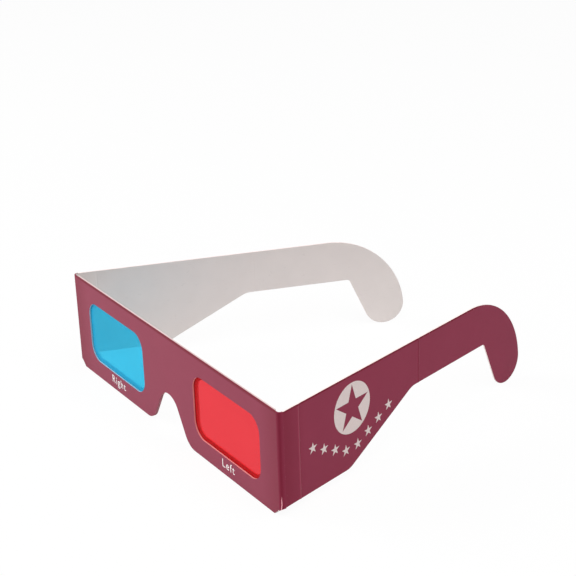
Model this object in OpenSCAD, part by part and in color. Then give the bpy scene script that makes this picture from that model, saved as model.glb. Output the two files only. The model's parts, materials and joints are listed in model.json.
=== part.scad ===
// Folding card viewing glasses with a red film and a cyan film.
// Left and right are the wearer's, so the left temple lies at +X.
// The front faces -Y and the glasses stand on the plane z = 0.

/* [Front] */
// Width of the flat front between its two end folds
front_w = 141.5; // [132:0.5:156]
// Height of the front
front_h = 38; // [36:0.5:44]
// Thickness of one ply of card
card_t = 0.5; // [0.3:0.05:0.7]
// Distance that the rear lining stops short of each end fold
lining_gap = 1.5; // [0.8:0.1:3]
// Start of the cut across each bottom corner, measured in from the fold
corner_cut = 2.8; // [0.6:0.1:3]

/* [Windows] */
// Width of each eye window
window_w = 42.5; // [36:0.5:46]
// Height of each eye window
window_h = 24; // [18:0.5:26]
// Corner radius of each eye window
window_r = 6; // [3:0.5:9]
// Card between each window and the end fold
window_end = 10.25; // [8.5:0.25:13]
// How much smaller the lining's windows are all round
lining_lip = 1.2; // [0.4:0.1:2]
// How far the lining's windows lie to the wearer's left of the front's
lining_aside = 1.1; // [0:0.1:1.5]
// How far the lining's windows lie above the front's
lining_up = 0.6; // [0:0.1:1.5]

/* [Films] */
// Thickness of the coloured film
film_t = 0.1; // [0.05:0.01:0.2]
// Width of film that is gripped round each window
film_margin = 4; // [2:0.5:4.5]
// Bare card round each glue line
glue_gap = 0.4; // [0.2:0.1:0.8]

/* [Nose notch] */
// Height of the notch above the bottom edge
notch_h = 15.5; // [12:0.5:20]
// Radius of the notch's arch
notch_r = 7; // [5:0.5:8.5]
// Slope of the notch's sides, from upright, in degrees
notch_lean = 30; // [20:1:35]
// Radius of the rounded corners at the notch's mouth
notch_lip_r = 7; // [2:0.5:9]

/* [Folds and scores] */
// Outside radius of the end folds
fold_r = 1.5; // [1.2:0.1:3]
// Width of the strip of card that bends at a scored line
score_w = 1.2; // [0.8:0.1:2]
// Height of the ridge that the scoring rule raises outside
score_ridge = 0.12; // [0.05:0.01:0.2]
// Width of that ridge
score_ridge_w = 0.5; // [0.3:0.1:0.7]
// Distance from the end fold to the side score
side_score = 7; // [4:0.5:12]
// Distance from the end fold to the ear score
ear_score = 69.5; // [60:0.5:80]

/* [Temples] */
// Length of a temple, from its fold to the end of the ear hook
temple_len = 132; // [120:0.5:132.5]
// Height of the temple's bottom edge above the front's
temple_rise = 3.5; // [2:0.1:6]
// Where the bottom edge starts to slope up to the neck
step_from = 32; // [20:0.5:45]
// Where that slope reaches the neck
step_to = 66; // [55:0.5:80]
// Radius where the slope starts and ends
step_r = 8; // [2:0.5:12]
// Height of the narrow neck
neck_h = 17; // [12:0.5:20]
// Radius of the ear hook's rounded end
hook_r = 8.3; // [6:0.1:9]
// Slope of the hook's inner edge, from upright, in degrees
hook_lean = 24; // [15:1:35]
// Radius of the hook's inner corner
hook_corner_r = 1.5; // [0.5:0.1:4]
// Radius of the shoulder over the hook
shoulder_r = 32; // [28:0.5:45]

/* [Resting pose] */
// Turn of the left temple inwards from square, in degrees
left_toe_angle = 14.5; // [0:0.5:20]
// Turn of the right temple inwards from square, in degrees
right_toe_angle = 19.5; // [0:0.5:20]

/* [Hidden] */
$fn = 96;

burgundy = "#8c3a50";
white_card = "#d4ccc8";
cyan_gel = "#38b4dc";
red_gel = "#ec404a";
dried_glue = "#e8dcb4";

// Ends of the flat front and of the lining
fold_x = front_w / 2;
lining_x = fold_x - lining_gap;

// How far a cutter runs past a face, and how far a rounding arc runs past the edges that it joins
past = 1;
bite = 0.004;

// Layers of the front, from its outside
film_y = card_t;
lining_y = card_t + film_t;

// Depth of the resting glasses, which sets the origin at the middle of their footprint
function temple_depth(toe) = fold_r + fold_r * sin(toe) + temple_len * cos(toe);
depth = max(temple_depth(left_toe_angle), temple_depth(right_toe_angle));

// Windows and films
window_x = fold_x - window_end - window_w / 2;
window_z = front_h / 2;
film_w = window_w + 2 * film_margin;
film_h = window_h + 2 * film_margin;
film_top = window_z + film_h / 2;
film_low = window_z - film_h / 2;
film_in = window_x - film_w / 2;
film_out = window_x + film_w / 2;

// Nose notch: centre of the arch, where its sides leave the arch, its half width at the mouth,
// and how far the rounded corners run along the bottom edge
arch_z = notch_h - notch_r;
side_x = notch_r * cos(notch_lean);
side_z = arch_z + notch_r * sin(notch_lean);
mouth_x = side_x + side_z * tan(notch_lean);
lip_run = notch_lip_r / tan(45 + notch_lean / 2);

// Temple: slope of the step, neck's bottom edge, and the centres of the hook's end and shoulder
neck_z = front_h - neck_h;
step_angle = atan2(neck_z - temple_rise, step_to - step_from);
hook_c = [temple_len - hook_r, hook_r];
shoulder_z = front_h - shoulder_r;
hook_gap = shoulder_r - hook_r + 2 * bite;
shoulder_u = hook_c[0] - sqrt(hook_gap ^ 2 - (hook_c[1] - shoulder_z) ^ 2);
shoulder_c = [shoulder_u, shoulder_z];
hook_way = (hook_c - shoulder_c) / hook_gap;
hook_touch = hook_c - (hook_r - bite) * way(hook_lean);
hook_in = hook_touch[0] - (neck_z - hook_touch[1]) * tan(hook_lean);

function way(angle) = [cos(angle), sin(angle)];

// What lies between a corner and the arc of radius r that joins its edges, and a little past those edges
module corner_sliver(corner, from, to, r) {
    half = (to - from) / 2;
    middle = corner + r / sin(half) * way(from + half);
    run = r / tan(half);
    difference() {
        polygon([
            corner - past / sin(half) * way(from + half),
            corner + run * way(from) + past * way(from - 90),
            middle,
            corner + run * way(to) + past * way(to + 90),
        ]);
        translate(middle) circle(r + bite);
    }
}

module rounded_window(w, h, r) {
    difference() {
        square([w, h], center = true);
        for (turn = [0, 180])
            rotate(turn) {
                corner_sliver([w, h] / 2, 180, 270, r);
                corner_sliver([-w, h] / 2, 270, 360, r);
            }
    }
}

module windows(inset, shift) {
    for (side = [-1, 1])
        translate([side * window_x, window_z] + shift)
            rounded_window(window_w - 2 * inset, window_h - 2 * inset, window_r - inset);
}

module notch() {
    translate([0, arch_z]) circle(notch_r + bite);
    polygon([
        [side_x, side_z], [mouth_x, 0], [mouth_x, -past],
        [-mouth_x, -past], [-mouth_x, 0], [-side_x, side_z],
    ]);
    for (side = [0, 1])
        mirror([side, 0])
            corner_sliver([mouth_x, 0], 0, 90 + notch_lean, notch_lip_r);
}

// The cut across a bottom corner, which runs round the fold up to the temple's bottom edge
module corner_cut_outline(toe) {
    end = fold_x + (fold_r - card_t) * cos(toe);
    polygon([
        [fold_x - corner_cut, -past], [fold_x - corner_cut, 0], [end, temple_rise],
        [fold_x + fold_r + past, temple_rise], [fold_x + fold_r + past, -past],
    ]);
}

module front_outline(half_w) {
    difference() {
        translate([-half_w, 0]) square([2 * half_w, front_h]);
        notch();
        corner_cut_outline(left_toe_angle);
        mirror([1, 0]) corner_cut_outline(right_toe_angle);
    }
}

// Stands an outline drawn in X and Z as a plate that starts at y
module standing(y, t) {
    translate([0, y + t - depth / 2, 0])
        rotate([90, 0, 0]) linear_extrude(t) children();
}

module at_left_fold() {
    translate([fold_x, fold_r - depth / 2, 0]) children();
}

// Mirrors what is built for the left over to the right
module on_side(side) {
    mirror([side == "right" ? 1 : 0, 0, 0]) children();
}

function toe_of(side) = side == "right" ? right_toe_angle : left_toe_angle;

// Stands a temple's outline, drawn along the temple and in Z, as a plate of thickness t
module on_temple(side, outer, t) {
    on_side(side)
        at_left_fold() rotate([0, 0, toe_of(side)])
            translate([fold_r + outer - t, 0, 0])
                rotate([90, 0, 90]) linear_extrude(t) children();
}

module hook_outline() {
    reach = shoulder_r + past;
    start = shoulder_u - past;
    intersection() {
        translate(shoulder_c) circle(shoulder_r + bite);
        polygon([
            [start, front_h], [start, neck_z], [hook_in, neck_z], hook_touch, hook_c,
            shoulder_c + reach * hook_way, [shoulder_u + reach, front_h],
        ]);
    }
    translate(hook_c) circle(hook_r);
    corner_sliver([hook_in, neck_z], 180, 270 + hook_lean, hook_corner_r);
}

module temple_outline() {
    difference() {
        polygon([
            [0, temple_rise], [step_from, temple_rise], [step_to, neck_z],
            [shoulder_u, neck_z], [shoulder_u, front_h], [0, front_h],
        ]);
        corner_sliver([step_from, temple_rise], step_angle, 180, step_r);
    }
    corner_sliver([step_to, neck_z], 180 + step_angle, 360, step_r);
    hook_outline();
}

// The stretch of a temple between two distances from its fold
module temple_between(from, to) {
    intersection() {
        temple_outline();
        translate([from, -past]) square([to - from, front_h + 2 * past]);
    }
}

// A scored line: the ridge stands outside and the rule's groove lies inside
module score(side, at) {
    difference() {
        union() {
            on_temple(side, 0, card_t) temple_between(at - score_w / 2, at + score_w / 2);
            on_temple(side, score_ridge, card_t)
                temple_between(at - score_ridge_w / 2, at + score_ridge_w / 2);
        }
        on_temple(side, score_ridge - card_t, card_t)
            temple_between(at - score_ridge_w / 2, at + score_ridge_w / 2);
    }
}

module front_ply() {
    color(burgundy) standing(0, card_t) difference() {
        front_outline(fold_x);
        windows(0, [0, 0]);
    }
}

module rear_ply() {
    color(white_card) standing(lining_y, card_t) difference() {
        front_outline(lining_x);
        windows(lining_lip, [lining_aside, lining_up]);
    }
}

module film(side) {
    standing(film_y, film_t) difference() {
        translate([side * window_x, window_z]) square([film_w, film_h], center = true);
        notch();
    }
}

module red_film() {
    color(red_gel) film(1);
}

module cyan_film() {
    color(cyan_gel) film(-1);
}

// Glue lies in the film's own layer, between the two plies
module glue_line(low, high) {
    color(dried_glue) standing(film_y, film_t) difference() {
        translate(low) square(high - low);
        notch();
    }
}

module brow_glue() {
    reach = lining_x - glue_gap;
    glue_line([-reach, film_top + glue_gap], [reach, front_h - glue_gap]);
}

module bridge_glue() {
    reach = film_in - glue_gap;
    glue_line([-reach, notch_h + glue_gap], [reach, film_top]);
}

module cheek_glue(side) {
    on_side(side)
        glue_line([mouth_x + lip_run, glue_gap], [film_out, film_low - glue_gap]);
}

module end_glue(side) {
    on_side(side)
        glue_line([film_out + glue_gap, temple_rise], [lining_x - glue_gap, film_top]);
}

module fold(side) {
    color(burgundy) on_side(side) difference() {
        at_left_fold() rotate([0, 0, -90])
            rotate_extrude(angle = 90 + toe_of(side))
                translate([fold_r - card_t, 0]) square([card_t, front_h]);
        standing(-past, 2 * fold_r + 2 * past) corner_cut_outline(toe_of(side));
    }
}

module strip(side) {
    color(burgundy) on_temple(side, 0, card_t) temple_between(0, side_score - score_w / 2);
}

module arm(side) {
    color(burgundy) on_temple(side, 0, card_t)
        temple_between(side_score + score_w / 2, ear_score - score_w / 2);
}

module hook(side) {
    color(burgundy) on_temple(side, 0, card_t)
        temple_between(ear_score + score_w / 2, temple_len + past);
}

module side_score_line(side) {
    color(burgundy) score(side, side_score);
}

module ear_score_line(side) {
    color(burgundy) score(side, ear_score);
}

front_ply();
rear_ply();
red_film();
cyan_film();
brow_glue();
bridge_glue();
cheek_glue("left");  // left_cheek_glue
cheek_glue("right");  // right_cheek_glue
end_glue("left");  // left_end_glue
end_glue("right");  // right_end_glue
fold("left");  // left_fold
strip("left");  // left_strip
side_score_line("left");  // left_side_score
arm("left");  // left_arm
ear_score_line("left");  // left_ear_score
hook("left");  // left_hook
fold("right");  // right_fold
strip("right");  // right_strip
side_score_line("right");  // right_side_score
arm("right");  // right_arm
ear_score_line("right");  // right_ear_score
hook("right");  // right_hook
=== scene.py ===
# Folding card 3-D glasses: finishes, bends, score lines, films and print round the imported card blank
import json
from math import atan2, cos, pi, radians, sin

import bmesh
import bpy
from bpy.props import FloatProperty, FloatVectorProperty, IntProperty, PointerProperty
from mathutils import Matrix, Vector


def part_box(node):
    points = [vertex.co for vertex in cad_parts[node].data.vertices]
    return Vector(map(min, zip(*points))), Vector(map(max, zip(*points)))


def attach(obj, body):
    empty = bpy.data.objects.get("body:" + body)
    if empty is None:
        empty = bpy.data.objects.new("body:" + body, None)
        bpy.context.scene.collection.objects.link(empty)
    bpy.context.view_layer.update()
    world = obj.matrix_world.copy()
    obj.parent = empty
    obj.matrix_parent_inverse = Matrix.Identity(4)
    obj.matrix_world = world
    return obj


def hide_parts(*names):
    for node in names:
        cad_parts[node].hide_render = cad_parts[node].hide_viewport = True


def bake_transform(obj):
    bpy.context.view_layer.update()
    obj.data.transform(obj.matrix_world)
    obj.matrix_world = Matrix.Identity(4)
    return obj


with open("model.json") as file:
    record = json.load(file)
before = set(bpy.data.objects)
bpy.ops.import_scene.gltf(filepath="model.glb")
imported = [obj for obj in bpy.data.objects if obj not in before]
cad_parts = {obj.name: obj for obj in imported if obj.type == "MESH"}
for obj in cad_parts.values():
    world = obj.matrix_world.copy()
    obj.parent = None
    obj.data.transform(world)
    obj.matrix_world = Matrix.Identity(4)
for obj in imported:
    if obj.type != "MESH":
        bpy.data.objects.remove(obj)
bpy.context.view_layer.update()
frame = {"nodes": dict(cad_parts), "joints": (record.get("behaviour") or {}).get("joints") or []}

bl_info = {
    "name": "Folding Card 3-D Glasses",
    "version": (1, 0, 0),
    "blender": (4, 5, 0),
    "location": "3D View > Sidebar > Glasses",
    "description": "Finishes, bends, films and print of folding card glasses",
    "category": "Object",
}

MM = 0.001
UP = Vector((0, 0, 1))
FORWARD = Vector((0, -1, 0))
SIDES = ("left", "right")

# Places closer than this are one place
TOUCH = 0.01 * MM
# A face looks one way if at least this share of its normal does
FACING = 0.7
# Faces that meet at less than this are shaded as one
SMOOTH_TURN = radians(30)
# A Mix node's sockets for colours, by number, because those for its other kinds have the same names
FACTOR, FIRST, SECOND, MIXED = 0, 6, 7, 2

# Places that the frame gives
JOINT_AT = {joint["name"]: Vector(joint["pos_m"]) for joint in frame["joints"]}
FRONT_LOW, FRONT_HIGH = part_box("front_ply")
CARD_T = FRONT_HIGH.y - FRONT_LOW.y
FACE_Y = FRONT_LOW.y
CARD_TOP = FRONT_HIGH.z
FOLD_R = JOINT_AT["left_fold_hinge"].y - FACE_Y
TEMPLE_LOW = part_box("left_strip")[0].z
# The nose notch runs from one cheek's glue to the other's
NOTCH_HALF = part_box("left_cheek_glue")[0].x


class Temple:
    """Where one temple stands: its fold's axis, the way it runs, its outward side and its outer face."""

    def __init__(self, side):
        fold, crease, ear = (JOINT_AT[f"{side}_{line}_hinge"] for line in ("fold", "side", "ear"))
        self.side = side
        self.sign = 1 if side == "left" else -1
        self.fold = Vector((fold.x, fold.y, 0))
        self.along = (ear - crease).normalized()
        self.out = self.sign * self.along.cross(UP)
        self.start = self.fold + FOLD_R * self.out
        self.turn = FORWARD.angle(self.out)

    def point(self, along, up, out=0.0):
        """A point that far along the temple, that high and that far out of its printed face."""
        return self.start + along * self.along + up * UP + out * self.out

    def reach(self, node):
        """Where a panel or score line starts and ends along the temple."""
        runs = [(v.co - self.start).dot(self.along) for v in frame["nodes"][node].data.vertices]
        return min(runs), max(runs)

    def print_plane(self):
        """Turns a drawing, x across and y up, on to the printed face, to be read from outside."""
        turned = Matrix((self.sign * self.along, UP, self.out)).transposed()
        return Matrix.Translation(self.start) @ turned.to_4x4()


TEMPLES = [Temple(side) for side in SIDES]


# Colours and node trees
def linear(hexcode):
    """An sRGB hex colour as linear red, green and blue."""
    parts = [int(hexcode[i:i + 2], 16) / 255 for i in (0, 2, 4)]
    return tuple(c / 12.92 if c <= 0.04045 else ((c + 0.055) / 1.055) ** 2.4 for c in parts)


def rgba(colour, share=1.0):
    """A property's colour, lightened or darkened, as a shader socket takes it."""
    return tuple(min(1.0, c * share) for c in colour) + (1.0,)


def per_metre(millimetres):
    """The texture scale whose pattern repeats about every so many millimetres."""
    return 1 / (millimetres * MM)


def add_node(tree, kind, inputs=(), **settings):
    """Add a node with its settings, and give each input a value or the socket that feeds it."""
    node = tree.nodes.new(kind)
    for name, value in settings.items():
        setattr(node, name, value)
    for name, value in dict(inputs).items():
        if isinstance(value, bpy.types.NodeSocket):
            tree.links.new(value, node.inputs[name])
        else:
            node.inputs[name].default_value = value
    return node


def new_material(name):
    """An empty node material and its tree."""
    material = bpy.data.materials.new(name)
    material.use_nodes = True
    material.node_tree.nodes.clear()
    return material, material.node_tree


def once(name, make):
    """The material of that name, made the first time it is asked for."""
    return bpy.data.materials.get(name) or make(name)


def colours():
    """The colours that the panel shows."""
    return bpy.context.scene.glasses_colours


def sizes():
    """The sizes that the panel shows."""
    return bpy.context.scene.glasses_sizes


# Materials
def ink_with_painted_shade(tree, place, ink):
    """Darken an ink with painted shade along the top edge and over it, and towards a fold, where the card
    bends away.
    """
    split = add_node(tree, "ShaderNodeSeparateXYZ", {"Vector": place})
    below = add_node(tree, "ShaderNodeMath", {0: CARD_TOP, 1: split.outputs["Z"]}, operation="SUBTRACT")
    # Painted shade along the top edge and over it
    edge = add_node(tree, "ShaderNodeMapRange", {
        "Value": below.outputs[0], "From Min": 0.5 * MM, "From Max": 0.85 * MM,
        "To Min": 1.0, "To Max": 0.0,
    })
    # Painted shade towards a fold, where the card bends away
    aside = add_node(tree, "ShaderNodeMath", {0: split.outputs["X"]}, operation="ABSOLUTE")
    spot = add_node(tree, "ShaderNodeCombineXYZ", {"X": aside.outputs[0], "Y": split.outputs["Y"]})
    away = add_node(tree, "ShaderNodeVectorMath", {
        0: spot.outputs[0], 1: TEMPLES[0].fold,
    }, operation="DISTANCE")
    fold = add_node(tree, "ShaderNodeMapRange", {
        "Value": away.outputs["Value"], "From Min": FOLD_R, "From Max": 10 * MM,
        "To Min": 0.5, "To Max": 0.0,
    })
    painted_shade = add_node(tree, "ShaderNodeMath", {
        0: edge.outputs[0], 1: fold.outputs[0],
    }, operation="MAXIMUM")
    return add_node(tree, "ShaderNodeMix", {
        FACTOR: painted_shade.outputs[0], FIRST: ink, SECOND: rgba(colours().painted_shade_ink),
    }, data_type="RGBA").outputs[MIXED]


def thinned_ink_and_highlight(ink_share, pulp_share):
    """Burgundy with some of the board's pulp in it: where thin ink lets the pulp show through, and as a
    painted highlight.
    """
    return rgba([
        ink_share * ink + pulp_share * pulp for ink, pulp in zip(colours().burgundy, colours().pulp)])


def offset_printed_board(name, gloss=0.09):
    """Coated white board, offset printed in burgundy and sealed with a satin varnish.

    The eye gets an even ink with a faint cloudy mottle, a soft sheen that wanders a little because the
    board is never quite flat, and a tooth that only shows where light grazes it.
    """
    material, tree = new_material(name)
    place = add_node(tree, "ShaderNodeTexCoord").outputs["Object"]
    mottle = add_node(tree, "ShaderNodeTexNoise", {"Vector": place, "Scale": per_metre(7), "Detail": 4.0})
    ink = add_node(tree, "ShaderNodeMix", {
        FACTOR: mottle.outputs["Fac"],
        FIRST: rgba(colours().burgundy, 0.95),
        SECOND: rgba(colours().burgundy, 1.05),
    }, data_type="RGBA")
    # Paper tooth is about 0.1 mm and is drawn at 0.6 mm so that it shows
    tooth = add_node(tree, "ShaderNodeTexNoise", {
        "Vector": place, "Scale": per_metre(0.6), "Detail": 2.0,
    })
    sheen = add_node(tree, "ShaderNodeMapRange", {
        "Value": tooth.outputs["Fac"], "To Min": 0.40, "To Max": 0.52,
    })
    waviness = add_node(tree, "ShaderNodeTexNoise", {
        "Vector": place, "Scale": per_metre(55), "Detail": 1.0,
    })
    bowed = add_node(tree, "ShaderNodeBump", {
        "Height": waviness.outputs["Fac"], "Distance": 0.5 * MM, "Strength": 0.6,
    })
    toothed = add_node(tree, "ShaderNodeBump", {
        "Height": tooth.outputs["Fac"], "Distance": 0.01 * MM, "Strength": 0.5,
        "Normal": bowed.outputs[0],
    })
    # The ink takes painted shade along the top edge and towards the folds
    shader = add_node(tree, "ShaderNodeBsdfPrincipled", {
        "Base Color": ink_with_painted_shade(tree, place, ink.outputs[MIXED]), "Roughness": sheen.outputs[0],
        "IOR": 1.5, "Specular IOR Level": gloss, "Normal": toothed.outputs[0],
    })
    add_node(tree, "ShaderNodeOutputMaterial", {"Surface": shader.outputs[0]})
    return material


def glazed_printed_board(name):
    """The same board where it was pressed flat for gluing, which glazes the varnish a little more."""
    return offset_printed_board(name, gloss=0.18)


def creased_print(name):
    """The same print where the board is bent sharply.

    Painted shade darkens the whole bend, most in a thin line along the crease, and near the lower end the
    ink has cracked in a thin wandering line that shows the white board. Across and up are the piece's own
    UV map, in metres.
    """
    material, tree = new_material(name)
    place = add_node(tree, "ShaderNodeTexCoord")
    size = sizes()
    sway_half, crack_half = 0.45 * MM, 0.17 * MM
    split = add_node(tree, "ShaderNodeSeparateXYZ", {"Vector": place.outputs["UV"]})
    wander = add_node(tree, "ShaderNodeTexNoise", {
        "W": split.outputs["Y"], "Scale": per_metre(2.2), "Detail": 2.0,
    }, noise_dimensions="1D")
    sway = add_node(tree, "ShaderNodeMapRange", {
        "Value": wander.outputs["Fac"], "To Min": -sway_half, "To Max": sway_half,
    })
    line = add_node(tree, "ShaderNodeMath", {0: split.outputs["X"], 1: sway.outputs[0]}, operation="ADD")
    off = add_node(tree, "ShaderNodeMath", {
        0: line.outputs[0], 1: size.crack_across,
    }, operation="SUBTRACT")
    far = add_node(tree, "ShaderNodeMath", {0: off.outputs[0]}, operation="ABSOLUTE")
    width = add_node(tree, "ShaderNodeMapRange", {
        "Value": split.outputs["Y"], "From Min": TEMPLE_LOW + 0.5 * size.crack_tall,
        "From Max": TEMPLE_LOW + size.crack_tall, "To Min": crack_half, "To Max": 0.0,
    })
    inside = add_node(tree, "ShaderNodeMath", {
        0: far.outputs[0], 1: width.outputs[0],
    }, operation="LESS_THAN")
    tooth = add_node(tree, "ShaderNodeTexNoise", {
        "Vector": place.outputs["Object"], "Scale": per_metre(0.6), "Detail": 2.0,
    })
    ink = add_node(tree, "ShaderNodeMix", {
        FACTOR: tooth.outputs["Fac"],
        FIRST: rgba(colours().burgundy, 0.93),
        SECOND: rgba(colours().burgundy, 1.02),
    }, data_type="RGBA")
    crease = add_node(tree, "ShaderNodeMath", {
        0: split.outputs["X"], 1: size.crease_shade_across,
    }, operation="SUBTRACT")
    from_crease = add_node(tree, "ShaderNodeMath", {0: crease.outputs[0]}, operation="ABSOLUTE")
    # Painted shade: darkest in a line along the crease, and a lighter share over the rest of the bend
    painted_shade = add_node(tree, "ShaderNodeMapRange", {
        "Value": from_crease.outputs[0], "From Min": 0.15 * MM, "From Max": 0.8 * MM,
        "To Min": 0.7, "To Max": 0.35,
    })
    crease_shaded = add_node(tree, "ShaderNodeMix", {
        FACTOR: painted_shade.outputs[0], FIRST: ink.outputs[MIXED], SECOND: rgba(colours().painted_shade_ink),
    }, data_type="RGBA")
    # A crack is narrower than it is drawn, so torn ink still tints the board that shows in it
    wear_and_highlight = add_node(tree, "ShaderNodeMix", {
        FACTOR: inside.outputs[0], FIRST: crease_shaded.outputs[MIXED], SECOND: thinned_ink_and_highlight(2.0, 0.45),
    }, data_type="RGBA")
    sheen = add_node(tree, "ShaderNodeMapRange", {
        "Value": tooth.outputs["Fac"], "To Min": 0.42, "To Max": 0.56,
    })
    shader = add_node(tree, "ShaderNodeBsdfPrincipled", {
        "Base Color": wear_and_highlight.outputs[MIXED], "Roughness": sheen.outputs[0], "IOR": 1.5,
        "Specular IOR Level": 0.12,
    })
    add_node(tree, "ShaderNodeOutputMaterial", {"Surface": shader.outputs[0]})
    return material


def scored_print(name, wear_and_highlight, deep, foot):
    """The same print pushed up by a scoring rule.

    The eye gets a painted highlight along its top, by the share wear_and_highlight, and painted shade at
    its foot, by the share deep. The foot lies that far across on the piece's own UV map, in metres.
    """
    material, tree = new_material(name)
    coords = add_node(tree, "ShaderNodeTexCoord")
    place = coords.outputs["Object"]
    rub = add_node(tree, "ShaderNodeTexNoise", {"Vector": place, "Scale": per_metre(1.5), "Detail": 3.0})
    even = add_node(tree, "ShaderNodeMix", {
        FACTOR: rub.outputs["Fac"],
        FIRST: rgba(colours().burgundy, 0.95),
        SECOND: rgba(colours().burgundy, 1.05),
    }, data_type="RGBA")
    across = add_node(tree, "ShaderNodeSeparateXYZ", {"Vector": coords.outputs["UV"]}).outputs["X"]
    top = add_node(tree, "ShaderNodeMath", {0: across}, operation="ABSOLUTE")
    # Painted highlight along the bead's top
    painted_highlight = add_node(tree, "ShaderNodeMapRange", {
        "Value": top.outputs[0], "From Min": 0.2 * MM, "From Max": 0.45 * MM,
        "To Min": wear_and_highlight, "To Max": 0.0,
    })
    highlighted = add_node(tree, "ShaderNodeMix", {
        FACTOR: painted_highlight.outputs[0], FIRST: even.outputs[MIXED], SECOND: thinned_ink_and_highlight(1.3, 0.04),
    }, data_type="RGBA")
    # Painted shade along the foot
    aside = add_node(tree, "ShaderNodeMath", {0: across, 1: foot}, operation="SUBTRACT")
    from_foot = add_node(tree, "ShaderNodeMath", {0: aside.outputs[0]}, operation="ABSOLUTE")
    shade_lined = add_node(tree, "ShaderNodeMapRange", {
        "Value": from_foot.outputs[0], "From Min": 0.1 * MM, "From Max": 0.4 * MM,
        "To Min": deep, "To Max": 0.0,
    })
    ink = add_node(tree, "ShaderNodeMix", {
        FACTOR: shade_lined.outputs[0], FIRST: highlighted.outputs[MIXED], SECOND: rgba(colours().painted_shade_ink),
    }, data_type="RGBA")
    sheen = add_node(tree, "ShaderNodeMapRange", {
        "Value": rub.outputs["Fac"], "To Min": 0.30, "To Max": 0.42,
    })
    # The ink also takes painted shade along the top edge
    shader = add_node(tree, "ShaderNodeBsdfPrincipled", {
        "Base Color": ink_with_painted_shade(tree, place, ink.outputs[MIXED]), "Roughness": sheen.outputs[0],
        "IOR": 1.5, "Specular IOR Level": 0.09,
    })
    add_node(tree, "ShaderNodeOutputMaterial", {"Surface": shader.outputs[0]})
    return material


def uncoated_board(name, tone=1.0):
    """The unprinted side of white-lined board: matt, off-white, with soft clouds and stray grey fibres.

    A tone below 1 darkens it: painted shade, as on the lining's face behind the films.
    """
    material, tree = new_material(name)
    place = add_node(tree, "ShaderNodeTexCoord").outputs["Object"]
    clouds = add_node(tree, "ShaderNodeTexNoise", {"Vector": place, "Scale": per_metre(9), "Detail": 5.0})
    board = add_node(tree, "ShaderNodeMix", {
        FACTOR: clouds.outputs["Fac"],
        FIRST: rgba(colours().board, 0.95 * tone),
        SECOND: rgba(colours().board, 1.04 * tone),
    }, data_type="RGBA")
    # Fibres are about 0.03 mm wide and are drawn at 0.3 mm so that they show
    turned = add_node(tree, "ShaderNodeMapping", {
        "Vector": place, "Rotation": (0.4, 0.7, 0.2), "Scale": (1.0, 0.25, 1.0),
    })
    fibre = add_node(tree, "ShaderNodeTexNoise", {
        "Vector": turned.outputs[0], "Scale": per_metre(0.9), "Detail": 2.0, "Distortion": 0.8,
    })
    stray = add_node(tree, "ShaderNodeMapRange", {
        "Value": fibre.outputs["Fac"], "From Min": 0.66, "From Max": 0.78, "To Min": 0.0, "To Max": 0.16,
    })
    flecked = add_node(tree, "ShaderNodeMix", {
        FACTOR: stray.outputs[0], FIRST: board.outputs[MIXED], SECOND: rgba(colours().board, 0.55 * tone),
    }, data_type="RGBA")
    matt = add_node(tree, "ShaderNodeMapRange", {
        "Value": clouds.outputs["Fac"], "To Min": 0.75, "To Max": 0.9,
    })
    felt = add_node(tree, "ShaderNodeBump", {
        "Height": fibre.outputs["Fac"], "Distance": 0.02 * MM, "Strength": 0.5,
    })
    shader = add_node(tree, "ShaderNodeBsdfPrincipled", {
        "Base Color": flecked.outputs[MIXED], "Roughness": matt.outputs[0], "IOR": 1.45,
        "Specular IOR Level": 0.2, "Normal": felt.outputs[0],
    })
    add_node(tree, "ShaderNodeOutputMaterial", {"Surface": shader.outputs[0]})
    return material


def die_cut_edge(name, ink_and_film_light=(1, 1, 1), share=0.0):
    """The cut edge of the board: pale pulp, furred by the die.

    A share of it takes another colour: ink that the die dragged over it on some edges, and painted light
    from the film beside it on the windows' edges.
    """
    material, tree = new_material(name)
    place = add_node(tree, "ShaderNodeTexCoord").outputs["Object"]
    fur = add_node(tree, "ShaderNodeTexNoise", {"Vector": place, "Scale": per_metre(0.5), "Detail": 3.0})
    pulp = add_node(tree, "ShaderNodeMix", {
        FACTOR: fur.outputs["Fac"],
        FIRST: rgba(colours().pulp, 0.92),
        SECOND: rgba(colours().pulp, 1.06),
    }, data_type="RGBA")
    # Ink on some edges, and painted light from a film on the windows' edges
    inked_and_lit = add_node(tree, "ShaderNodeMix", {
        FACTOR: share, FIRST: pulp.outputs[MIXED], SECOND: rgba(ink_and_film_light),
    }, data_type="RGBA")
    rough = add_node(tree, "ShaderNodeMapRange", {
        "Value": fur.outputs["Fac"], "To Min": 0.8, "To Max": 1.0,
    })
    raised = add_node(tree, "ShaderNodeBump", {
        "Height": fur.outputs["Fac"], "Distance": 0.05 * MM, "Strength": 0.6,
    })
    shader = add_node(tree, "ShaderNodeBsdfPrincipled", {
        "Base Color": inked_and_lit.outputs[MIXED], "Roughness": rough.outputs[0], "Specular IOR Level": 0.15,
        "Normal": raised.outputs[0],
    })
    add_node(tree, "ShaderNodeOutputMaterial", {"Surface": shader.outputs[0]})
    return material


def inked_cut_edge(name):
    """A cut edge that the die dragged some ink over."""
    return die_cut_edge(name, colours().burgundy, share=0.45)


def ink_smeared_edge(name):
    """The notch's cut edge, which the die went through from the printed side and smeared with ink."""
    return die_cut_edge(name, colours().burgundy, share=0.9)


def ink_brushed_edge(name):
    """The lining's top edge, which the die brushed with a little ink."""
    return die_cut_edge(name, colours().burgundy, share=0.3)


def cut_edge_with_painted_film_light(name, tint):
    """A window's cut edge, with painted light in the colour of the film beside it."""
    return die_cut_edge(name, tint, share=0.62)


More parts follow.
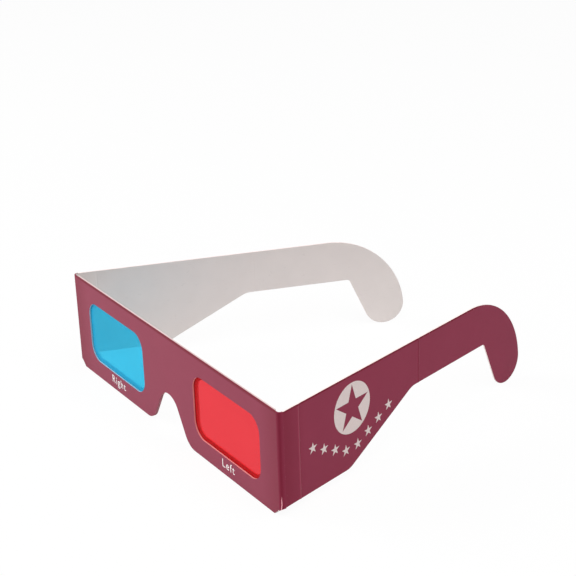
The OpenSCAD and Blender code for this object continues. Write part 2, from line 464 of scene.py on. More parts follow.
def dyed_acetate_film(name, tint, haze):
    """Thin cast acetate, dyed right through: strongly tinted, with a faint ripple in its shine.

    Haze is the share of the light that it scatters. Lamps reach what is behind it in its own colour, so
    it casts a coloured shadow.
    """
    material, tree = new_material(name)
    place = add_node(tree, "ShaderNodeTexCoord").outputs["Object"]
    ripple = add_node(tree, "ShaderNodeTexNoise", {
        "Vector": place, "Scale": per_metre(16), "Detail": 1.0,
    })
    cast = add_node(tree, "ShaderNodeBump", {
        "Height": ripple.outputs["Fac"], "Distance": 0.08 * MM, "Strength": 0.5,
    })
    dye = add_node(tree, "ShaderNodeMix", {
        FACTOR: ripple.outputs["Fac"],
        FIRST: rgba(tint, 0.97),
        SECOND: rgba(tint, 1.03),
    }, data_type="RGBA")
    # Acetate's IOR is 1.48, but so thin a film bends no view and these hardly mirror the room
    clear = add_node(tree, "ShaderNodeBsdfPrincipled", {
        "Base Color": dye.outputs[MIXED], "Roughness": 0.04, "IOR": 1.05, "Transmission Weight": 1 - haze,
        "Normal": cast.outputs[0],
    })
    # Light on its way to the card meets both faces, so each takes half the dye
    light_tint = add_node(tree, "ShaderNodeBsdfTransparent", {"Color": rgba([c ** 0.5 for c in tint])})
    path = add_node(tree, "ShaderNodeLightPath")
    lighting = add_node(tree, "ShaderNodeMath", {
        0: path.outputs["Is Shadow Ray"], 1: path.outputs["Is Diffuse Ray"],
    }, operation="MAXIMUM")
    seen = add_node(tree, "ShaderNodeMixShader", {
        0: lighting.outputs[0], 1: clear.outputs[0], 2: light_tint.outputs[0],
    })
    add_node(tree, "ShaderNodeOutputMaterial", {"Surface": seen.outputs[0]})
    return material


def screen_ink(name, colour):
    """Opaque screen ink laid on the varnish: matt, slightly uneven, with pinholes of thinner cover."""
    material, tree = new_material(name)
    place = add_node(tree, "ShaderNodeTexCoord").outputs["Object"]
    # Mesh marks are about 0.1 mm apart and are drawn at 0.5 mm so that they show
    marks = add_node(tree, "ShaderNodeTexNoise", {
        "Vector": place, "Scale": per_metre(0.5), "Detail": 3.0,
    })
    cover = add_node(tree, "ShaderNodeMix", {
        FACTOR: marks.outputs["Fac"],
        FIRST: rgba(colour, 0.9),
        SECOND: rgba(colour, 1.08),
    }, data_type="RGBA")
    matt = add_node(tree, "ShaderNodeMapRange", {
        "Value": marks.outputs["Fac"], "To Min": 0.55, "To Max": 0.7,
    })
    shader = add_node(tree, "ShaderNodeBsdfPrincipled", {
        "Base Color": cover.outputs[MIXED], "Roughness": matt.outputs[0], "Specular IOR Level": 0.25,
    })
    add_node(tree, "ShaderNodeOutputMaterial", {"Surface": shader.outputs[0]})
    return material


def dried_paper_glue(name):
    """Dried white glue in the joint: cloudy, faintly yellow, with a skin that shines unevenly."""
    material, tree = new_material(name)
    place = add_node(tree, "ShaderNodeTexCoord").outputs["Object"]
    lumps = add_node(tree, "ShaderNodeTexNoise", {
        "Vector": place, "Scale": per_metre(1.8), "Detail": 3.0,
    })
    cloudy = add_node(tree, "ShaderNodeMix", {
        FACTOR: lumps.outputs["Fac"],
        FIRST: rgba(colours().glue, 0.85),
        SECOND: rgba(colours().glue, 1.05),
    }, data_type="RGBA")
    skin = add_node(tree, "ShaderNodeMapRange", {
        "Value": lumps.outputs["Fac"], "To Min": 0.3, "To Max": 0.6,
    })
    raised = add_node(tree, "ShaderNodeBump", {
        "Height": lumps.outputs["Fac"], "Distance": 0.05 * MM, "Strength": 0.4,
    })
    shader = add_node(tree, "ShaderNodeBsdfPrincipled", {
        "Base Color": cloudy.outputs[MIXED], "Roughness": skin.outputs[0], "IOR": 1.47,
        "Normal": raised.outputs[0],
    })
    add_node(tree, "ShaderNodeOutputMaterial", {"Surface": shader.outputs[0]})
    return material


# Modelling helpers
def deselect_all():
    """Leave no object selected."""
    bpy.ops.object.select_all(action="DESELECT")


def only(piece):
    """Make the piece the one selected and active object."""
    deselect_all()
    piece.select_set(True)
    bpy.context.view_layer.objects.active = piece


def named(name):
    """Name the object that a primitive has just made."""
    piece = bpy.context.object
    piece.name = name
    piece.data.name = name
    return piece


def pick(piece, kind, test):
    """In edit mode, select the vertices, edges or faces that pass the test and nothing else."""
    bpy.ops.mesh.select_mode(type=kind)
    bpy.ops.mesh.select_all(action="DESELECT")
    mesh = bmesh.from_edit_mesh(piece.data)
    elements = {"VERT": mesh.verts, "EDGE": mesh.edges, "FACE": mesh.faces}[kind]
    for element in elements:
        element.select_set(bool(test(element)))
    mesh.select_flush_mode()
    bmesh.update_edit_mesh(piece.data)


def close_up(piece):
    """Merge doubles, turn every face outwards and leave edit mode."""
    bpy.ops.mesh.select_all(action="SELECT")
    bpy.ops.mesh.remove_doubles(threshold=0.002 * MM)
    bpy.ops.mesh.normals_make_consistent(inside=False)
    bpy.ops.object.mode_set(mode="OBJECT")
    if not closed(piece):
        raise RuntimeError(f"{piece.name} isn't closed")


def closed(piece):
    """True if every edge of the mesh has two faces."""
    mesh = bmesh.new()
    mesh.from_mesh(piece.data)
    whole = all(edge.is_manifold for edge in mesh.edges)
    mesh.free()
    return whole


def place_with(piece, matrix):
    """Carry a finished mesh to its place and leave the object at the origin, unturned and unscaled."""
    only(piece)
    piece.matrix_world = matrix
    bpy.ops.object.transform_apply(location=True, rotation=True, scale=True)


def give(piece, materials, choose=lambda face: 0):
    """Give the mesh its materials, and each face the first one or the one that choose names by number."""
    piece.data.materials.clear()
    for material in materials:
        piece.data.materials.append(material)
    for face in piece.data.polygons:
        face.material_index = choose(face)


# Numbers of a card's materials, and after them those that only the front or only its lining has
PRINTED, INNER, CUT, NOTCH = range(4)
RED_WINDOW, CYAN_WINDOW = NOTCH + 1, NOTCH + 2
LINING_TOP = NOTCH + 1


def card_side(outward):
    """Tells a card's printed side, inner side and cut edges apart by the way a face looks."""
    def choose(face):
        facing = face.normal.dot(outward)
        return PRINTED if facing > FACING else INNER if facing < -FACING else CUT
    return choose


def ply_side(face):
    """As card_side for a ply of the front, but the nose notch has its own cut edge."""
    side = card_side(FORWARD)(face)
    in_notch = abs(face.center.x) < NOTCH_HALF and face.center.z < CARD_TOP / 2
    return NOTCH if side == CUT and in_notch else side


def on_top(face):
    """True if the face is part of the card's top edge."""
    return face.center.z > CARD_TOP - TOUCH


def over_film(face, film):
    """True if the face, seen from the front, lies over that film."""
    low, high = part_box(film)
    spot = face.center
    return low.x < spot.x < high.x and low.z < spot.z < high.z


def front_side(face):
    """As ply_side, but the ink runs over the top edge, and each window's cut edge has painted light in its
    film's colour.
    """
    if on_top(face):
        return PRINTED
    side = ply_side(face)
    if side == CUT and over_film(face, "red_film"):
        return RED_WINDOW
    if side == CUT and over_film(face, "cyan_film"):
        return CYAN_WINDOW
    return side


def lining_side(face):
    """As ply_side, but the top edge is brushed with a little ink."""
    return LINING_TOP if on_top(face) else ply_side(face)


def card_materials(printed="offset_printed_board", make=offset_printed_board):
    """A card's materials: its printed side, or what is there instead, its inner side and its cut edges."""
    return [
        once(printed, make), once("uncoated_board", uncoated_board), once("die_cut_edge", die_cut_edge),
    ]


# Sizes and colours that a user may change
class GlassesColours(bpy.types.PropertyGroup):
    """Colours of the card, the inks and the films."""

    burgundy: FloatVectorProperty(
        name="Burgundy", description="Ink on the outer side of the card",
        subtype="COLOR", min=0, max=1, default=linear("8D324A"))
    # Painted shade: this colour stands in for shade along the top edge, round the folds and at the score
    # lines
    painted_shade_ink: FloatVectorProperty(
        name="Deep ink", description="Ink where the card is pressed or stretched",
        subtype="COLOR", min=0, max=1, default=linear("760A29"))
    board: FloatVectorProperty(
        name="Board", description="Unprinted inner side of the card and the lining",
        subtype="COLOR", min=0, max=1, default=linear("E2DAD7"))
    pulp: FloatVectorProperty(
        name="Pulp", description="Cut edges of the card",
        subtype="COLOR", min=0, max=1, default=linear("F8E6E3"))
    grey_ink: FloatVectorProperty(
        name="Grey ink", description="Disc and stars on the temples",
        subtype="COLOR", min=0, max=1, default=linear("E2D3D0"))
    white_ink: FloatVectorProperty(
        name="White ink", description="Words under the windows",
        subtype="COLOR", min=0, max=1, default=linear("F4F1EF"))
    red_film: FloatVectorProperty(
        name="Red film", description="What the left film lets through",
        subtype="COLOR", min=0, max=1, default=linear("EC454D"))
    cyan_film: FloatVectorProperty(
        name="Cyan film", description="What the right film lets through",
        subtype="COLOR", min=0, max=1, default=linear("44C9EA"))
    glue: FloatVectorProperty(
        name="Glue", description="Dried glue between the plies",
        subtype="COLOR", min=0, max=1, default=linear("E6DCC0"))


class GlassesSizes(bpy.types.PropertyGroup):
    """Sizes of the bends, the films and the print."""

    bend_steps: IntProperty(
        name="Bend steps", description="Flat steps round each fold", min=8, max=64, default=30)
    bead_high: FloatProperty(
        name="Bead", description="How far a score line stands out of the printed side",
        unit="LENGTH", default=0.12 * MM)
    groove_deep: FloatProperty(
        name="Groove", description="How far a score line is pressed into the inner side",
        unit="LENGTH", default=0.04 * MM)
    bead_half: FloatProperty(
        name="Bead half width", description="Half the width that the scoring rule pushes up",
        unit="LENGTH", default=0.45 * MM)
    # Where the painted shade lies, from a side score line's middle
    foot_across: FloatProperty(
        name="Score foot", description="Where the ink is pressed deeper, from a score line's middle",
        unit="LENGTH", default=0.55 * MM)
    # Where the painted shade is darkest, round the fold from the front
    crease_shade_across: FloatProperty(
        name="Crease place", description="Where the ink is deepest, round the fold from the front",
        unit="LENGTH", default=1.25 * MM)
    crack_across: FloatProperty(
        name="Crack place", description="Where the ink cracks, round the fold from the front",
        unit="LENGTH", default=1.15 * MM)
    crack_tall: FloatProperty(
        name="Crack height", description="How far the crack runs up from the temple's lower edge",
        unit="LENGTH", default=4.4 * MM)
    film_thick: FloatProperty(
        name="Film", description="Thickness of a film", unit="LENGTH", default=0.06 * MM)
    film_bow: FloatProperty(
        name="Film bow", description="How far a film bellies back in the middle of its window",
        unit="LENGTH", default=0.15 * MM)
    ink_thick: FloatProperty(
        name="Ink", description="Thickness of the printed ink", unit="LENGTH", default=0.02 * MM)
    disc_along: FloatProperty(
        name="Disc along", description="Middle of the disc, from the fold",
        unit="LENGTH", default=33.5 * MM)
    disc_up: FloatProperty(
        name="Disc height", description="Middle of the disc above the table",
        unit="LENGTH", default=25.8 * MM)
    disc_r: FloatProperty(
        name="Disc radius", description="Radius of the disc", unit="LENGTH", default=9.25 * MM)
    disc_star_r: FloatProperty(
        name="Disc star", description="Radius of the star left open in the disc",
        unit="LENGTH", default=8.6 * MM)
    row_half: IntProperty(
        name="Stars a side", description="Stars in each half of the row", min=1, max=6, default=4)
    row_along: FloatProperty(
        name="Row along", description="Middle of the row of stars, from the fold",
        unit="LENGTH", default=33.1 * MM)
    row_gap: FloatProperty(
        name="Middle gap", description="Spacing of the two lowest stars", unit="LENGTH", default=6.2 * MM)
    row_step: FloatProperty(
        name="Star spacing", description="Spacing of the stars along the temple",
        unit="LENGTH", default=5.5 * MM)
    row_up: FloatProperty(
        name="Row height", description="Height of the two lowest stars",
        unit="LENGTH", default=11.15 * MM)
    row_rise: FloatProperty(
        name="Row rise", description="How much higher each star stands than the one nearer the middle",
        unit="LENGTH", default=2.7 * MM)
    row_star_r: FloatProperty(
        name="Small star", description="Radius of a small star", unit="LENGTH", default=2.15 * MM)
    word_size: FloatProperty(
        name="Word size", description="Type size of the words", unit="LENGTH", default=4.4 * MM)
    word_bold: FloatProperty(
        name="Word weight", description="How much each stroke is thickened",
        unit="LENGTH", default=0.015 * MM)
    word_up: FloatProperty(
        name="Word height", description="Height of the words' base line", unit="LENGTH", default=2.7 * MM)
    word_across: FloatProperty(
        name="Word place", description="Middle of a word, from the middle of the front",
        unit="LENGTH", default=39.6 * MM)


# Card and glue from the frame
class GLASSES_OT_card(bpy.types.Operator):
    """Give the flat card panels their printed, inner and cut sides, and the glue lines their finish."""

    bl_idname = "glasses.card"
    bl_label = "Card panels"

    def execute(self, context):
        notch_edge = once("ink_smeared_edge", ink_smeared_edge)
        # Painted light: the windows' cut edges take the colour that the films cast on them
        window_edges = [
            once("red_tinted_edge", lambda title: cut_edge_with_painted_film_light(title, colours().red_film)),
            once("cyan_tinted_edge", lambda title: cut_edge_with_painted_film_light(title, colours().cyan_film)),
        ]
        front = card_materials("glazed_printed_board", glazed_printed_board)
        give(frame["nodes"]["front_ply"], front + [notch_edge] + window_edges, front_side)
        # Painted shade: the lining's white face behind the films is drawn at 0.7 of its tone
        lining = card_materials("grey_backed_board", lambda title: uncoated_board(title, tone=0.7))
        top_edge = once("ink_brushed_edge", ink_brushed_edge)
        give(frame["nodes"]["rear_ply"], lining + [notch_edge, top_edge], lining_side)
        for temple in TEMPLES:
            for panel in ("strip", "arm", "hook"):
                node = frame["nodes"][f"{temple.side}_{panel}"]
                give(node, card_materials(), card_side(temple.out))
        glue = once("dried_paper_glue", dried_paper_glue)
        for name, node in frame["nodes"].items():
            if name.endswith("_glue"):
                give(node, [glue])
        return {"FINISHED"}


# Bends round the ends of the front
def corner_cutter(temple):
    """A block of the shape cut off the fold's lower end: slanting first, then level with the temple."""
    fold_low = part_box(f"{temple.side}_fold")[0].z
    inner_end = (FOLD_R - CARD_T) * temple.out.x
    # The block is larger than the fold all round, so that only its top cuts
    wide, deep, past = 2.5 * FOLD_R, 4 * FOLD_R, FOLD_R
    deselect_all()
    bpy.ops.mesh.primitive_cube_add(size=1, calc_uvs=False)
    cutter = named("corner_cutter")
    cutter.scale = (wide, deep, TEMPLE_LOW + past)
    cutter.location = temple.fold + Vector((0, 0, (TEMPLE_LOW - past) / 2))
    bpy.ops.object.transform_apply(location=True, rotation=True, scale=True)
    above = Vector((fold_low - TEMPLE_LOW, 0, abs(inner_end)))
    above.x *= temple.sign
    bpy.ops.object.mode_set(mode="EDIT")
    bpy.ops.mesh.select_all(action="SELECT")
    bpy.ops.mesh.bisect(
        plane_co=temple.fold + Vector((0, 0, fold_low)), plane_no=above, use_fill=True, clear_outer=True,
        threshold=0.001 * MM)
    close_up(cutter)
    return cutter


def cut_away(piece, cutter):
    """Cut one mesh out of another and delete the cutter."""
    only(piece)
    cut = piece.modifiers.new("cut", "BOOLEAN")
    cut.operation = "DIFFERENCE"
    cut.solver = "EXACT"
    cut.object = cutter
    bpy.ops.object.modifier_apply(modifier=cut.name)
    bpy.data.meshes.remove(cutter.data)


def map_round(piece, temple):
    """A UV map in metres: across is the way round the fold from the front, up is the height."""
    layer = piece.data.uv_layers.new(name="round_the_fold")
    for loop in piece.data.loops:
        spot = piece.data.vertices[loop.vertex_index].co
        arm = spot - temple.fold
        angle = atan2(arm.x * temple.sign, -arm.y)
        layer.data[loop.index].uv = (angle * FOLD_R, spot.z)


def fold_bend(temple):
    """The rounded bend between the front and a temple, spun from the front's end."""
    deselect_all()
    bpy.ops.mesh.primitive_plane_add(size=1, rotation=(0, pi / 2, 0), calc_uvs=False)
    bend = named(f"{temple.side}_bend")
    bend.scale = (CARD_TOP, CARD_T, 1)
    bend.location = (temple.fold.x, FACE_Y + CARD_T / 2, CARD_TOP / 2)
    bpy.ops.object.transform_apply(location=True, rotation=True, scale=True)
    bpy.ops.object.mode_set(mode="EDIT")
    bpy.ops.mesh.select_all(action="SELECT")
    bpy.ops.mesh.spin(
        steps=sizes().bend_steps, angle=-temple.sign * temple.turn, center=temple.fold, axis=UP)
    close_up(bend)
    cut_away(bend, corner_cutter(temple))
    bpy.ops.object.shade_smooth_by_angle(angle=SMOOTH_TURN)
    map_round(bend, temple)

    def choose(face):
        arm = Vector((face.center.x - temple.fold.x, face.center.y - temple.fold.y, 0))
        facing = face.normal.dot(arm.normalized())
        if facing > FACING or face.normal.z > FACING:
            return PRINTED
        return INNER if facing < -FACING else CUT

    printed, inner, _ = card_materials("creased_print", creased_print)
    give(bend, [printed, inner, once("inked_cut_edge", inked_cut_edge)], choose)
    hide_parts(f"{temple.side}_fold")
    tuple(temple.start)
    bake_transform(bend)


class GLASSES_OT_bends(bpy.types.Operator):
    """Make the rounded bends at the ends of the front."""

    bl_idname = "glasses.bends"
    bl_label = "Fold bends"

    def execute(self, context):
        for temple in TEMPLES:
            fold_bend(temple)
        return {"FINISHED"}


# Score lines across the temples
def map_across(piece, temple, middle):
    """A UV map in metres: across is the way along the temple from the score line, up is the height."""
    layer = piece.data.uv_layers.new(name="across_the_score")
    for loop in piece.data.loops:
        spot = piece.data.vertices[loop.vertex_index].co
        layer.data[loop.index].uv = ((spot - temple.start).dot(temple.along) - middle, spot.z)


def score_line(temple, name, finish):
    """A scored band: a soft bead on the printed side over a groove on the inner side."""
    node = f"{temple.side}_{name}_score"
    low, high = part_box(node)
    start, end = temple.reach(node)
    halfway = (start + end) / 2
    # An odd number of cuts puts a corner halfway, for the rule to push
    cuts = 15
    bead_turn = radians(35)
    middle = temple.point(halfway, low.z, -CARD_T / 2)
    deselect_all()
    bpy.ops.mesh.primitive_plane_add(size=1, calc_uvs=False)
    band = named(f"{temple.side}_{name}_crease")
    band.matrix_world = Matrix.Translation(middle) @ Matrix(
        (temple.out * CARD_T, temple.along * (end - start), UP)).transposed().to_4x4()
    bpy.ops.object.transform_apply(location=True, rotation=True, scale=True)
    bpy.ops.object.mode_set(mode="EDIT")
    pick(band, "EDGE", lambda edge: abs(
        (edge.verts[0].co - edge.verts[1].co).normalized().dot(temple.along)) > FACING)
    bpy.ops.mesh.subdivide(number_cuts=cuts)
    for face_out, push in ((0.0, sizes().bead_high), (-CARD_T, sizes().groove_deep)):
        spot = temple.point(halfway, low.z, face_out)
        pick(band, "VERT", lambda vert: (vert.co - spot).length < TOUCH)
        bpy.ops.transform.translate(
            value=temple.out * push, use_proportional_edit=True,
            proportional_edit_falloff="SMOOTH", proportional_size=sizes().bead_half)
    bpy.ops.mesh.select_all(action="SELECT")
    bpy.ops.mesh.extrude_region_move(TRANSFORM_OT_translate={"value": UP * (high.z - low.z)})
    close_up(band)
    bpy.ops.object.shade_smooth_by_angle(angle=bead_turn)
    map_across(band, temple, halfway)
    give(band, [finish] + card_materials()[1:], card_side(temple.out))
    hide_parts(node)
    temple.point(start, low.z, -CARD_T / 2)
    temple.point(end, low.z, -CARD_T / 2)
    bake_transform(band)


class GLASSES_OT_scores(bpy.types.Operator):
    """Make the score lines that let the temples bend."""

    bl_idname = "glasses.scores"
    bl_label = "Score lines"

    def execute(self, context):
        foot = sizes().foot_across
        # Painted highlight and shade on the side scores, painted shade alone on the ear scores
        highlighted = once("rubbed_score", lambda title: scored_print(title, wear_and_highlight=0.7, deep=0.6, foot=foot))
        shade_lined = once(
            "pressed_score", lambda title: scored_print(title, wear_and_highlight=0.0, deep=0.7, foot=0.1 * MM))
        for temple in TEMPLES:
            score_line(temple, "side", highlighted)
            score_line(temple, "ear", shade_lined)
        return {"FINISHED"}


# Films
def film_sheet(name, node, tint, haze):
    """A dyed film, thinner than the gap that holds it, bellied a little where the windows leave it free."""
    low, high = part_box(node)
    across, tall = 32, 20
    # The belly is deepest along a short ridge, and it fades out that far from it
    ridge_half_x, ridge_half_z, fade = 8 * MM, 1 * MM, 11 * MM
    middle = (low + high) / 2
    deselect_all()
    bpy.ops.mesh.primitive_grid_add(x_subdivisions=across, y_subdivisions=tall, size=1)
    film = named(name)
    film.matrix_world = Matrix.Translation(middle) @ Matrix.Rotation(pi / 2, 4, "X") @ Matrix.Diagonal(
        (high.x - low.x, high.z - low.z, 1, 1))
    bpy.ops.object.transform_apply(location=True, rotation=True, scale=True)
    bpy.ops.object.mode_set(mode="EDIT")
    pick(film, "VERT", lambda vert: (
        abs(vert.co.x - middle.x) < ridge_half_x and abs(vert.co.z - middle.z) < ridge_half_z))
    bpy.ops.transform.translate(
        value=(0, sizes().film_bow, 0), use_proportional_edit=True,
        proportional_edit_falloff="SMOOTH", proportional_size=fade)
    bpy.ops.object.mode_set(mode="OBJECT")
    wall = film.modifiers.new("wall", "SOLIDIFY")
    wall.thickness = sizes().film_thick
    wall.offset = 0
    bpy.ops.object.modifier_apply(modifier=wall.name)
    bpy.ops.object.mode_set(mode="EDIT")
    close_up(film)
    bpy.ops.object.shade_smooth_by_angle(angle=SMOOTH_TURN)
    acetate = once(f"dyed_acetate_{node}", lambda title: dyed_acetate_film(title, tint, haze))
    give(film, [acetate])
    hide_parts(node)
    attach(film, "front")


class GLASSES_OT_films(bpy.types.Operator):
    """Make the red and the cyan film between the plies."""

    bl_idname = "glasses.films"
    bl_label = "Films"

    def execute(self, context):
        film_sheet("red_lens", "red_film", colours().red_film, haze=0.1)
        film_sheet("cyan_lens", "cyan_film", colours().cyan_film, haze=0.32)
        return {"FINISHED"}


# Print
STAR_CORNERS = 10
# How far a regular star's inner corners lie from its middle, as a share of its radius
STAR_WAIST = sin(pi / 10) / cos(pi / 5)


def star_outline(piece, radius, middle):
    """In edit mode, add the outline of a five-pointed star with one point up, left selected."""
    bpy.ops.mesh.primitive_circle_add(
        vertices=STAR_CORNERS, radius=radius, location=middle, fill_type="NOTHING")
    mesh = bmesh.from_edit_mesh(piece.data)
    points = [vert for vert in mesh.verts if vert.select]
    for vert in points:
        arm = vert.co - middle
        corner = round(atan2(arm.x, arm.y) / (2 * pi / STAR_CORNERS))
        if corner % 2:
            vert.co = middle + arm * STAR_WAIST
    bmesh.update_edit_mesh(piece.data)


def raise_ink(piece):
    """Give a flat drawing the thickness of ink, and turn it outwards."""
    bpy.ops.mesh.select_all(action="SELECT")
    bpy.ops.mesh.extrude_region_move(TRANSFORM_OT_translate={"value": UP * sizes().ink_thick})
    close_up(piece)


def lay_ink(piece, ink, body):
    """Give a printed piece its ink and its slot, and let it ride on the card under it."""
    give(piece, [ink])
    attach(piece, body)


def star_disc(temple, ink):
    """A printed disc with a star left open in it, so that the card's own burgundy shows."""
    rim_points = 60
    middle = Vector((temple.sign * sizes().disc_along, sizes().disc_up, 0))
    deselect_all()
    bpy.ops.mesh.primitive_circle_add(vertices=rim_points, radius=sizes().disc_r, location=middle)
    disc = named(f"{temple.side}_star_disc")
    bpy.ops.object.transform_apply(location=True, rotation=True, scale=True)
    bpy.ops.object.mode_set(mode="EDIT")
    star_outline(disc, sizes().disc_star_r, middle)
    bpy.ops.mesh.subdivide(number_cuts=rim_points // STAR_CORNERS - 1)
    bpy.ops.mesh.select_all(action="SELECT")
    bpy.ops.mesh.bridge_edge_loops()
    raise_ink(disc)
    place_with(disc, temple.print_plane())
    lay_ink(disc, ink, f"{temple.side}_arm_body")


def star_row(temple, ink):
    """A row of small stars in a shallow V under the disc."""
    middle = temple.sign * sizes().row_along
    spots = [Vector((
        middle + way * (sizes().row_gap / 2 + i * sizes().row_step),
        sizes().row_up + i * sizes().row_rise,
        0,
    )) for way in (-1, 1) for i in range(sizes().row_half)]
    deselect_all()
    bpy.ops.mesh.primitive_circle_add(vertices=STAR_CORNERS, radius=sizes().row_star_r, location=spots[0])
    row = named(f"{temple.side}_star_row")
    bpy.ops.object.transform_apply(location=True, rotation=True, scale=True)
    bpy.ops.object.mode_set(mode="EDIT")
    bpy.ops.mesh.delete(type="VERT")
    star_outline(row, sizes().row_star_r, spots[0])
    bpy.ops.mesh.edge_face_add()
    for before, after in zip(spots, spots[1:]):
        bpy.ops.mesh.duplicate_move(TRANSFORM_OT_translate={"value": after - before})
    raise_ink(row)
    place_with(row, temple.print_plane())
    lay_ink(row, ink, f"{temple.side}_arm_body")


def eye_word(word, across, ink):
    """The name of an eye under its window, so that the wearer puts the glasses on the right way round."""
    deselect_all()
    bpy.ops.object.text_add()
    letters = named(f"{word.lower()}_word")
    letters.data.body = word
    letters.data.size = sizes().word_size
    letters.data.align_x = "CENTER"
    letters.data.extrude = sizes().ink_thick / 2
    letters.data.offset = sizes().word_bold
    letters.data.space_character = 1.2
    letters.data.resolution_u = 6
    only(letters)
    bpy.ops.object.convert(target="MESH")
    letters = named(f"{word.lower()}_word")
    bpy.ops.object.mode_set(mode="EDIT")
    close_up(letters)
    on_face = Matrix.Translation((across, FACE_Y - sizes().ink_thick / 2, sizes().word_up))
    place_with(letters, on_face @ Matrix.Rotation(pi / 2, 4, "X"))
    lay_ink(letters, ink, "front")


class GLASSES_OT_print(bpy.types.Operator):
    """Print the disc, the stars and the words."""

    bl_idname = "glasses.print"
    bl_label = "Print"

    def execute(self, context):
        grey = once("grey_screen_ink", lambda title: screen_ink(title, colours().grey_ink))
        white = once("white_screen_ink", lambda title: screen_ink(title, colours().white_ink))
        for temple in TEMPLES:
            star_disc(temple, grey)
            star_row(temple, grey)
        eye_word("Left", sizes().word_across, white)
        eye_word("Right", -sizes().word_across, white)
        return {"FINISHED"}


# Stage
CAMERA_TURN = radians(57.115)
CAMERA_TILT = radians(22.858)
CAMERA_ROLL = radians(-1.928)
CAMERA_FAR = 533 * MM
CAMERA_AIM = Vector((3.03 * MM, FACE_Y + 50 * MM, 44.27 * MM))
CAMERA_LENS = 91.94
CAMERA_SENSOR = 36
CAMERA_NEAR = 10 * MM
LAMP_AIM = Vector((0, 0, 20 * MM))
FLOOR_SIDE = 6
# How much of the floor's look is plain white. The rest shows the shadow.
FLOOR_WHITE = 0.94


def background_rays(tree):
    """1 for rays that see the background: from the camera, from a gloss or through a film."""
    path = add_node(tree, "ShaderNodeLightPath")
    gloss = add_node(tree, "ShaderNodeMath", {
        0: path.outputs["Is Camera Ray"], 1: path.outputs["Is Glossy Ray"],
    }, operation="MAXIMUM")
    return add_node(tree, "ShaderNodeMath", {
        0: gloss.outputs[0], 1: path.outputs["Is Transmission Ray"],
    }, operation="MAXIMUM").outputs[0]


def studio_floor():
    """A white paper sweep. It looks white, and keeps a faint part of the shadow that falls on it."""
    deselect_all()
    bpy.ops.mesh.primitive_plane_add(size=FLOOR_SIDE)
    floor = named("studio_floor")
    material, tree = new_material("white_paper_sweep")
    lit = add_node(tree, "ShaderNodeBsdfDiffuse", {"Color": rgba(linear("EFEFEF"))})
    white = add_node(tree, "ShaderNodeEmission", {"Color": rgba(linear("FFFFFF")), "Strength": 1.0})
    share = add_node(tree, "ShaderNodeMath", {
        0: background_rays(tree), 1: FLOOR_WHITE,
    }, operation="MULTIPLY")
    shown = add_node(tree, "ShaderNodeMixShader", {
        0: share.outputs[0], 1: lit.outputs[0], 2: white.outputs[0],
    })
    add_node(tree, "ShaderNodeOutputMaterial", {"Surface": shown.outputs[0]})
    material.cycles.emission_sampling = "NONE"
    floor.data.materials.append(material)


def studio_light():
    """Even light all round, a large soft lamp overhead and a smaller one low at the front left."""
    world = bpy.data.worlds.new("studio")
    bpy.context.scene.world = world
    world.use_nodes = True
    tree = world.node_tree
    tree.nodes.clear()
    fill = add_node(tree, "ShaderNodeBackground", {"Color": rgba(linear("FFFFFF")), "Strength": 0.12})
    white = add_node(tree, "ShaderNodeBackground", {"Color": rgba(linear("FFFFFF")), "Strength": 1.0})
    shown = add_node(tree, "ShaderNodeMixShader", {
        0: background_rays(tree), 1: fill.outputs[0], 2: white.outputs[0],
    })
    add_node(tree, "ShaderNodeOutputWorld", {"Surface": shown.outputs[0]})

    softbox("top_softbox", place=(0.4, -0.05, 1.1), size=1.2, watts=15.3)
    softbox("front_softbox", place=(-0.75, -0.75, 0.45), size=0.7, watts=9)


def softbox(name, place, size, watts):
    """A square soft lamp that faces the glasses."""
    deselect_all()
    bpy.ops.object.light_add(type="AREA", location=place)
    lamp = bpy.context.object
    lamp.name = name
    lamp.data.size = size
    lamp.data.energy = watts
    lamp.rotation_euler = (LAMP_AIM - lamp.location).to_track_quat("-Z", "Y").to_euler()


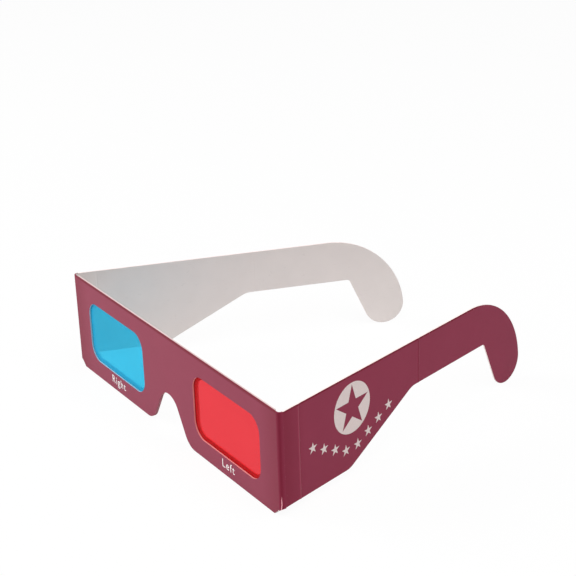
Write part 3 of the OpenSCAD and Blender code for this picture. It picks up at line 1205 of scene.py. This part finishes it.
def studio_camera():
    """The photograph's viewpoint."""
    back = Vector((
        sin(CAMERA_TURN) * cos(CAMERA_TILT), -cos(CAMERA_TURN) * cos(CAMERA_TILT), sin(CAMERA_TILT)))
    level = Vector((cos(CAMERA_TURN), sin(CAMERA_TURN), 0))
    upright = back.cross(level)
    right = level * cos(CAMERA_ROLL) + upright * sin(CAMERA_ROLL)
    over = upright * cos(CAMERA_ROLL) - level * sin(CAMERA_ROLL)
    deselect_all()
    bpy.ops.object.camera_add()
    camera = bpy.context.object
    camera.name = "studio_camera"
    camera.data.lens = CAMERA_LENS
    camera.data.sensor_width = CAMERA_SENSOR
    camera.data.clip_start = CAMERA_NEAR
    turned = Matrix((right, over, back)).transposed()
    camera.matrix_world = Matrix.Translation(CAMERA_AIM + back * CAMERA_FAR) @ turned.to_4x4()
    bpy.context.scene.camera = camera


class GLASSES_OT_stage(bpy.types.Operator):
    """Set the floor, the light and the camera."""

    bl_idname = "glasses.stage"
    bl_label = "Stage"

    def execute(self, context):
        studio_floor()
        studio_light()
        studio_camera()
        context.scene.view_settings.view_transform = "Standard"
        return {"FINISHED"}


OPERATORS = (
    GLASSES_OT_card, GLASSES_OT_bends, GLASSES_OT_scores,
    GLASSES_OT_films, GLASSES_OT_print, GLASSES_OT_stage,
)


class GLASSES_PT_panel(bpy.types.Panel):
    """Lists the steps that make the glasses, and their sizes and colours."""

    bl_idname = "GLASSES_PT_panel"
    bl_label = "Card Glasses"
    bl_space_type = "VIEW_3D"
    bl_region_type = "UI"
    bl_category = "Glasses"

    def draw(self, context):
        for operator in OPERATORS:
            self.layout.operator(operator.bl_idname)
        for group in (context.scene.glasses_sizes, context.scene.glasses_colours):
            column = self.layout.column()
            for name in group.__annotations__:
                column.prop(group, name)


CLASSES = (GlassesColours, GlassesSizes) + OPERATORS + (GLASSES_PT_panel,)


def register():
    for cls in CLASSES:
        bpy.utils.register_class(cls)
    bpy.types.Scene.glasses_colours = PointerProperty(type=GlassesColours)
    bpy.types.Scene.glasses_sizes = PointerProperty(type=GlassesSizes)


def unregister():
    del bpy.types.Scene.glasses_sizes
    del bpy.types.Scene.glasses_colours
    for cls in reversed(CLASSES):
        bpy.utils.unregister_class(cls)


def main():
    """Make the glasses and their stage."""
    register()
    bpy.ops.glasses.card()
    bpy.ops.glasses.bends()
    bpy.ops.glasses.scores()
    bpy.ops.glasses.films()
    bpy.ops.glasses.print()
    bpy.ops.glasses.stage()


if __name__ == "__main__":
    main()
